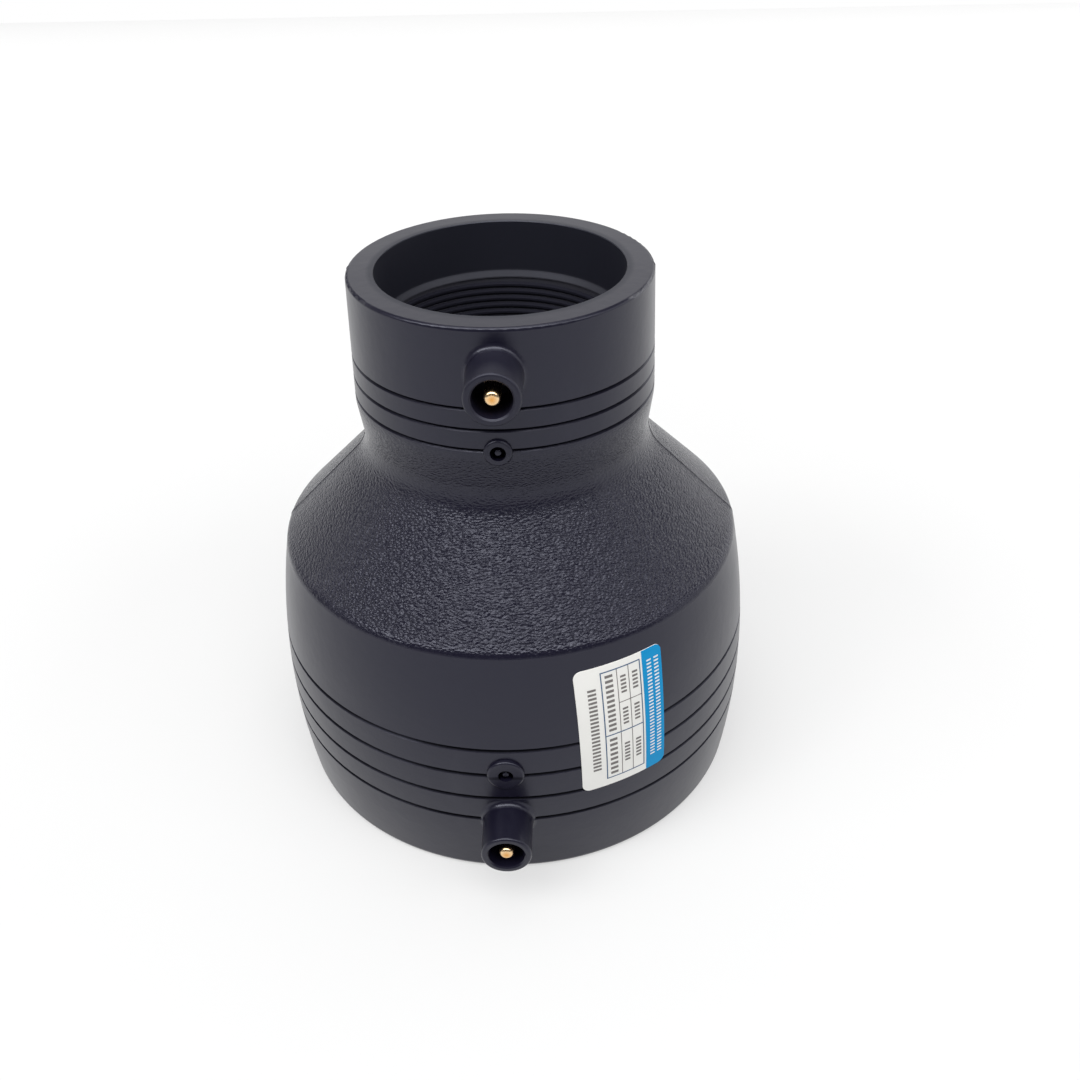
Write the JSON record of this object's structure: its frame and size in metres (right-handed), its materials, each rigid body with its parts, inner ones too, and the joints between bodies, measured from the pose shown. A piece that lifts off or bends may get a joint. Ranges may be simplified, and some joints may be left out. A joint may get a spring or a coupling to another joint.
{
  "type": "electrofusion reducer",
  "caption": "Black polyethylene electrofusion reducer: a wide and a narrow pipe socket joined by a cone, with a terminal shroud and a fusion indicator at each end.",
  "frame": {"origin": "centre of the large mouth, in the plane the fitting stands on", "axes": "+Z along the sockets towards the small mouth, -Y the way both terminals face, +X to the right seen from the terminals"},
  "size_m": [0.1418, 0.1538, 0.1536],
  "materials": {
    "black_polyethylene": "satin, moulded, with a fine leather grain on the neck and cone",
    "coated_wire": "resistance wire in a black polyethylene coat",
    "pin_brass": "turned",
    "label_film": "smooth white film",
    "label_blue": "printed blue",
    "label_ink": "printed black"
  },
  "bodies": {
    "root": {"body": "black_polyethylene", "heating_wire": "coated_wire", "small_terminal_pin": "pin_brass", "large_terminal_pin": "pin_brass", "label": "label_film", "label_blue_print": "label_blue", "label_black_print": "label_ink"}
  },
  "joints": []
}
